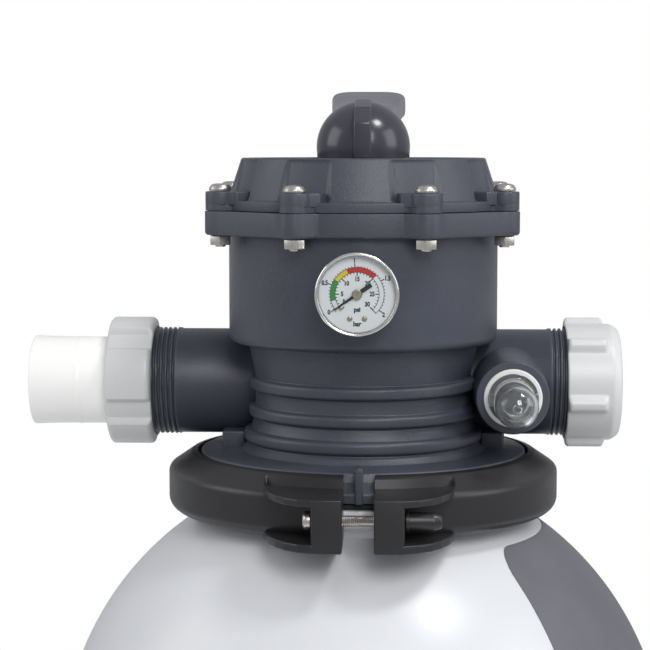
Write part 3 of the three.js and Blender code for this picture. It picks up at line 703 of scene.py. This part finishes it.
# Printed characters as thin closed shapes, centred on a point of the dial.
def letters(text, size, x, y, narrow=0.82):
    curve = bpy.data.curves.new(text, "FONT")
    curve.body = text
    curve.size = size
    curve.align_x = curve.align_y = "CENTER"
    curve.offset, curve.extrude, curve.resolution_u = 0.16, 0.03, 3
    holder = bpy.data.objects.new(text, curve)
    bpy.context.scene.collection.objects.link(holder)
    bpy.context.view_layer.update()
    mesh = bpy.data.meshes.new_from_object(holder)
    points = np.array([v.co[:] for v in mesh.vertices])
    faces = [list(p.vertices) for p in mesh.polygons]
    bpy.data.objects.remove(holder)
    bpy.data.curves.remove(curve)
    bpy.data.meshes.remove(mesh)
    height = points[:, 2] + gauge["dial"] + 0.04
    return placed(points[:, 0] * narrow + x, points[:, 1] + y, height, "front", gaugeSpot), faces


zones = {"green": (195.3, 146.8), "yellow": (146.8, 113.5), "red": (113.5, 44.0)}
for name, (start, end) in zones.items():
    build("gauge band " + name, [band(11.7, 14.1, start, end)], looks[name], "root")
ink = [band(11.46, 11.74, 225, -45, 0.08), band(14.06, 14.34, 217, -46, 0.08),
       tick(-45.5, 9.6, scale["barRadius"], 0.4), tick(217, scale["psiRadius"], scale["barRadius"], 0.3)]
for psi in range(31):
    long, wide = (2.0, 0.55) if psi % 5 == 0 else (0.95, 0.4)
    degrees = scale["start"] - psi * scale["perPsi"]
    ink.append(tick(degrees, scale["psiRadius"] - long, scale["psiRadius"], wide))
for step in range(41):
    long, wide = (2.1, 0.55) if step % 10 == 0 else (0.8, 0.4)
    degrees = scale["barStart"] - step * scale["perBarStep"]
    if degrees < scale["barFrom"]:
        ink.append(tick(degrees, scale["barRadius"], scale["barRadius"] + long, wide))
for value in range(5, 35, 5):
    x, y = polar(7.9 if value < 30 else 7.6, scale["start"] - value * scale["perPsi"])
    ink.append(letters(str(value), 3.3, x, y))
for text, degrees in (("0", 213), ("0.5", 161), ("1", 94.5), ("1.5", 27.5), ("2", -38)):
    x, y = polar(18.0 if text in ("0.5", "1.5") else 17.7, degrees)
    ink.append(letters(text, 3.3, x, y))
ink += [letters("0", 2.3, -7.0, -3.6), letters("psi", 3.5, 0, -8.2, 0.9), letters("bar", 3.5, 0, -15.8, 0.9)]
build("gauge print", ink, looks["ink"], "root", sharp=60)

# The dial's two rivets and its stop pin, then the pointer with its hub, and the lens
rivet = {"apart": 3.9, "below": 13}
stopPin = {"left": 8.6, "below": 7.6}
rivetLine = rounded([(0, 90.9, 0), (1.5, 90.9, 0), (1.4, 91.7, 0.4), (0, 91.9, 0)])
rivets = [spin(rivetLine, "front", (gauge["x"] + x, 0, gauge["z"] - rivet["below"]), 24)
          for x in (-rivet["apart"], rivet["apart"])]
stopLine = rounded([(0, 90.9, 0), (0.9, 90.9, 0), (0.9, 92.6, 0.3), (0, 92.7, 0)])
stopSpot = (gauge["x"] - stopPin["left"], 0, gauge["z"] - stopPin["below"])
rivets.append(spin(stopLine, "front", stopSpot, 20))
build("gauge rivets", rivets, looks["brass"], "root")
needle = [(16.8, -0.12), (16.8, 0.12), (9, 0.5), (2, 0.85), (-1.5, 1.1), (-9, 1.1), (-9, -1.1), (-1.5, -1.1),
          (2, -0.85), (9, -0.5)]
outline = np.array([turnedPoint(r, w, math.radians(gauge["restAngle"])) for r, w in needle])
build("gauge pointer", [slab(outline, 91.7, 92.3, "front", gaugeSpot, edge=0.08)], looks["ink"], "pointer")
pivotLine = rounded([(0, 91.5, 0), (2.2, 91.5, 0), (2.7, 92.3, 0.2), (2.7, 93, 0.3), (2.3, 93.3, 0.3),
                     (0.9, 93.2, 0), (0.7, 93.0, 0), (0, 93.0, 0)])
build("gauge pointer hub", [spin(pivotLine, "front", gaugeSpot, 48)], looks["brass"], "pointer",
      ["gauge_pointer"])
lensLine = rounded([(0, 93.9, 0), (20.5, 93.9, 0.2), (20.5, 95.3, 0.2), (0, 95.3, 0)])
build("gauge lens", [spin(lensLine, "front", gaugeSpot, 64)], looks["lens"], "root",
      ["gauge_lens"])
print("gauge made")

# Sight glass: a thin domed cup with a tip, on a flange with two grip tabs
glass = {"inner": 9.9, "outer": 11.7, "dome": 81.3, "innerRise": 9.5, "outerRise": 11.1, "flange": 13.9,
         "tabOut": 12.2}
washerLine = rounded([(13, 44.3, 0), (16.2, 44.3, 0.6), (16.2, 46, 0.8), (13, 46, 0.3)])
build("sight glass washer", [spin(washerLine, "front", sightSpot, 64)], looks["washer"], "root",
      ["sight_glass_gasket"])


# Corners along a dome of the sight glass, between two angles in radians.
def glassDome(radius, rise, start, end, count):
    turns = np.linspace(start, end, count)
    return [(radius * math.cos(a), glass["dome"] + rise * math.sin(a), 0) for a in turns]


glassLine = rounded(
    [(0, 90.8, 0)] + glassDome(glass["inner"], glass["innerRise"], 1.5, 0, 14)
    + [(glass["inner"], 46.2, 0), (glass["flange"], 46.2, 0.3), (glass["flange"], 49.2, 0.8)]
    + [(glass["outer"], 50.2, 1)]
    + glassDome(glass["outer"], glass["outerRise"], 0, 1.32, 16)
    + [(2.9, 92.2, 0.2), (2.7, 93.2, 0.3), (1.9, 93.2, 0.2), (1.4, 92.5, 0.2), (0, 92.7, 0)])
glassShapes = [spin(glassLine, "front", sightSpot, 72)]
for side in (-1, 1):
    points, faces = box((-1.2, 1.2), (-54.5, -48.5), (-3.5, 3.5), 0.4, 0.4)
    glassShapes.append((points + [sight["x"] + side * glass["tabOut"], 0, sight["z"]], faces))
build("sight glass", glassShapes, looks["clear"], "root", ["sight_glass"])

# Unions: the nut has five broad lobes, and the tail is a socket for pipe
union = {"low": 34, "high": 37.4, "from": 122.5, "end": 149.5, "thread": 32, "mouth": 26.5, "seat": 139.6,
         "lobes": 5}
tail = {"bore": 20, "socket": 22, "radius": 25.6, "collar": 30, "end": 195}
nutLine = finer(rounded([
    (union["thread"], union["from"], 0.8), (union["low"], union["from"], 1.2),
    (union["low"], union["end"], 2.5), (union["mouth"], union["end"], 0.8),
    (union["mouth"], union["seat"], 0), (union["thread"], union["seat"], 0),
]), 0.9)
tailLine = rounded([
    (21, 134.3, 0), (tail["collar"], 134.3, 0), (tail["collar"], 139, 0), (tail["radius"], 139.5, 0),
    (tail["radius"], 165.6, 1), (25.8, 166.4, 0.5), (25.8, 168, 0.5), (tail["radius"], 168.8, 1),
    (25.7, 180, 8), (26.2, 194.2, 0.8), (tail["radius"], tail["end"], 0.8), (22.4, tail["end"], 0.8),
    (tail["socket"], 193.5, 0.5), (tail["socket"], 164, 1), (tail["bore"], 162, 1), (tail["bore"], 136, 0)])
for name, axis, centre, phase in (("return", "left", sidePort, 12), ("pump", "rear", rearPort, 18)):
    nutLobes = lobed(union["lobes"], union["low"], union["high"], 50, phase, 5, union["from"],
                     union["end"], 3.2)
    build(name + " union nut", [spin(nutLine, axis, centre, 240, nutLobes)], looks["fitting"],
          name + "_nut", [name + "_nut"])
    build(name + " union tail", [spin(tailLine, axis, centre, 112)], looks["white"], name + "_tail",
          [name + "_tail"])

# Waste cap
wasteCap = {"low": 34, "high": 38.1, "from": 117.5, "end": 149, "thread": 32, "lobes": 6, "lobeEnd": 140.5}
capLine = finer(rounded([
    (0, 136.6, 0), (wasteCap["thread"], 136.6, 0), (wasteCap["thread"], wasteCap["from"], 0.8),
    (wasteCap["low"], wasteCap["from"], 1), (wasteCap["low"], 144.2, 5), (30.8, wasteCap["end"], 3.6),
    (0, wasteCap["end"], 0)]), 0.9)
capLobes = lobed(wasteCap["lobes"], wasteCap["low"], wasteCap["high"], 12, 44.5, 8, wasteCap["from"],
                 wasteCap["lobeEnd"], 2)
build("waste cap", [spin(thinned(capLine, 26, 8), "right", sidePort, 240, capLobes)], looks["fitting"],
      "waste_cap", ["waste_cap"])
print("sight glass, unions and waste cap made")

# Band clamp: each half is a ring section ending in a jaw with webs. Within the pocket's half
# width, the outer part of the section rises no higher than the floor of the pocket.
clamp = {"gap": 8.3, "pocket": 50, "pocketFrom": 100.5, "floor": 461.0, "inner": 101.9, "outer": 111.4,
         "front": 135.5, "steps": 361}
section = finer(rounded([
    (94.5, 463.2, 0), (clamp["inner"], 458.5, 0.5), (clamp["inner"], 441, 0.5), (94, 437.4, 0.5),
    (94, 434.6, 0.8), (101, 433.2, 2), (clamp["outer"], 436.5, 9), (clamp["outer"], 458, 4.5),
    (98.5, 466.8, 2), (95, 467.6, 0.5),
]), 1.5)
section = np.vstack([section, section[:1]])
share = np.linspace(0, 1, clamp["steps"])
first = np.arcsin(clamp["gap"] / section[:, 0])
turn = first[:, None] + share[None] * (math.pi - 2 * first[:, None])
r, z = (np.repeat(section[:, k, None], len(share), 1) for k in (0, 1))
x, y = r * np.sin(turn), -r * np.cos(turn)
low = np.where((np.abs(x) < clamp["pocket"]) & (r > clamp["pocketFrom"]), clamp["floor"], np.inf)
rows = np.stack([x, y, np.minimum(z, low)], -1)[:-1]
ring = tube(np.transpose(rows, (1, 0, 2)), capped=True)
webLine = rounded([
    (clamp["gap"], -clamp["front"], 0.5), (24.4, -clamp["front"], 2.5), (31, -133, 4), (38, -127.5, 8),
    (43, -120.5, 8), (47.5, -111, 10), (50.3, -99.3, 1), (46, -92, 0), (clamp["gap"], -101.5, 0)], True)
jawLine = rounded([(8.2, -135.6, 1.2), (24, -135.6, 2), (24, -100, 0), (8.2, -100, 0)], True)
jaw = [slab(jawLine, 433.3, 461.2, edge=0.6), slab(webLine, 457.4, 461.1, edge=0.6),
       slab(webLine, 433.4, 438, edge=0.8)]
halfShapes = [ring] + jaw + [mirrored(s, 1) for s in jaw]
for name, side in (("right", 1), ("left", -1)):
    shapes = halfShapes if side > 0 else [mirrored(s, 0) for s in halfShapes]
    build("clamp half " + name, shapes, looks["clamp"], "root", ["clamp_half_" + name],
          sharp=38)

# Clamp screws, each with its long cap nut
rod = {"radius": 3, "groove": 0.32, "from": -24.4, "to": 36.6, "spot": (0, -125, 448.7)}


# A thread with a pitch of 1 mm.
def rodThread(r, d, t):
    phase = (d - t / fullTurn) % 1.0
    dip = (1 - smooth(np.abs(phase - 0.5), 0.1, 0.5)) * (np.abs(d) < 40)
    return np.where(r > 2.6, r - rod["groove"] * dip, r)


rodLine = thinned(finer(rounded([(0, rod["from"], 0), (rod["radius"], rod["from"], 0),
                                 (rod["radius"], rod["to"], 0.6), (0, rod["to"], 0)]), 0.25), 2.5, 6)
headLine = rounded([(0, -28.6, 0), (3.6, -28.5, 1), (5, -27.4, 1.4), (5.1, rod["from"], 0.3),
                    (0, rod["from"], 0)])
nutLine = rounded([(3.3, 24.3, 0), (5.6, 24.3, 0.5), (5.6, 26, 0.5), (4.9, 26.3, 0.3), (4.9, 39, 3),
                   (3.6, 43, 2), (0, 43.8, 0)])
nutLine = np.vstack([nutLine, [[0, 37.4], [3.3, 37.4]]])
for place, degrees in (("front", 0), ("rear", 180)):
    bolt = [spin(rodLine, "right", rod["spot"], 28, rodThread), spin(headLine, "right", rod["spot"], 36)]
    build("clamp screw " + place, [turnedBy(s, degrees) for s in bolt], looks["steel"], "root",
          ["clamp_bolt_" + place])
    build("clamp cap nut " + place, [turnedBy(spin(nutLine, "right", rod["spot"], 40), degrees)],
          looks["clamp"], "root", ["clamp_cap_nut_" + place])
print("clamp made")

# Floor: white, glowing towards its edge so that it melts into the white surround
ground = {"radius": 0.86, "glowFrom": 0.25, "glowFull": 0.84, "white": 0.82}
floorMesh = bpy.data.meshes.new("floor")
around = np.linspace(0, fullTurn, 96, endpoint=False)
rim = [(ground["radius"] * math.cos(t), ground["radius"] * math.sin(t), 0) for t in around]
floorMesh.from_pydata(rim, [], [list(range(len(rim)))])
floor = bpy.data.objects.new("floor", floorMesh)
bpy.context.scene.collection.objects.link(floor)
floorLook = bpy.data.materials.new("floor")
floorLook.use_nodes = True
tree = floorLook.node_tree
shader = tree.nodes["Principled BSDF"]
shader.inputs["Base Color"].default_value = (ground["white"],) * 3 + (1,)
shader.inputs["Roughness"].default_value = 0.7
coords = tree.nodes.new("ShaderNodeTexCoord")
length = tree.nodes.new("ShaderNodeVectorMath")
length.operation = "LENGTH"
edge = tree.nodes.new("ShaderNodeMapRange")
edge.interpolation_type = "SMOOTHSTEP"
edge.inputs["From Min"].default_value = ground["glowFrom"]
edge.inputs["From Max"].default_value = ground["glowFull"]
glow = tree.nodes.new("ShaderNodeEmission")
mix = tree.nodes.new("ShaderNodeMixShader")
tree.links.new(coords.outputs["Object"], length.inputs[0])
tree.links.new(length.outputs["Value"], edge.inputs["Value"])
tree.links.new(edge.outputs["Result"], mix.inputs["Fac"])
tree.links.new(shader.outputs[0], mix.inputs[1])
tree.links.new(glow.outputs[0], mix.inputs[2])
tree.links.new(mix.outputs[0], tree.nodes["Material Output"].inputs["Surface"])
floorMesh.materials.append(floorLook)

# Surround: white to the eye, dimmer and a little blue as a light source
surround = {"seen": (1, 1, 1, 1), "lit": (0.93, 0.96, 1, 1), "litStrength": 0.46}
world = bpy.data.worlds.new("studio")
world.use_nodes = True
bpy.context.scene.world = world
tree = world.node_tree
path = tree.nodes.new("ShaderNodeLightPath")
seen, lit = tree.nodes["Background"], tree.nodes.new("ShaderNodeBackground")
seen.inputs["Color"].default_value = surround["seen"]
seen.inputs["Strength"].default_value = 1.0
lit.inputs["Color"].default_value = surround["lit"]
lit.inputs["Strength"].default_value = surround["litStrength"]
mix = tree.nodes.new("ShaderNodeMixShader")
tree.links.new(path.outputs["Is Camera Ray"], mix.inputs["Fac"])
tree.links.new(lit.outputs[0], mix.inputs[1])
tree.links.new(seen.outputs[0], mix.inputs[2])
tree.links.new(mix.outputs[0], tree.nodes["World Output"].inputs["Surface"])

# Lamps, in metres and watts, all turned towards the valve
lamps = {
    "left box": {"spot": (-1.5, -0.2, 1.15), "size": (0.9, 1.0), "power": 6, "tint": (1, 0.99, 0.98)},
    "front box": {"spot": (0.42, -1.7, 1.5), "size": (0.7, 0.8), "power": 16, "tint": (1, 1, 1)},
    "right box": {"spot": (1.45, -0.4, 1.1), "size": (0.8, 1.0), "power": 6.5, "tint": (0.98, 0.99, 1)},
    "key box": {"spot": (0.69, -0.42, 1.85), "size": (0.3, 0.3), "power": 8, "tint": (1, 1, 1)},
}
lampTarget = Vector((0, 0, 0.52))
for name, lamp in lamps.items():
    data = bpy.data.lights.new(name, "AREA")
    data.shape = "RECTANGLE"
    data.size, data.size_y = lamp["size"]
    data.energy = lamp["power"]
    data.color = lamp["tint"]
    made = bpy.data.objects.new(name, data)
    made.location = lamp["spot"]
    made.rotation_euler = (lampTarget - Vector(lamp["spot"])).to_track_quat("-Z", "Y").to_euler()
    bpy.context.scene.collection.objects.link(made)

# Camera: eye level 0.64 m, 1.1 m ahead of the tank's axis, panned left and tilted down
view = {"spot": (0.021, -1.10, 0.640), "focal": 106.6, "sensor": 36, "down": 5.28, "left": 2.23}
lens = bpy.data.cameras.new("camera")
lens.lens = view["focal"]
lens.sensor_width = view["sensor"]
camera = bpy.data.objects.new("camera", lens)
camera.location = view["spot"]
camera.rotation_euler = (math.radians(90 - view["down"]), 0, math.radians(view["left"]))
bpy.context.scene.collection.objects.link(camera)
bpy.context.scene.camera = camera
bpy.context.scene.view_settings.view_transform = "Standard"
print("floor, surround, lamps and camera made")
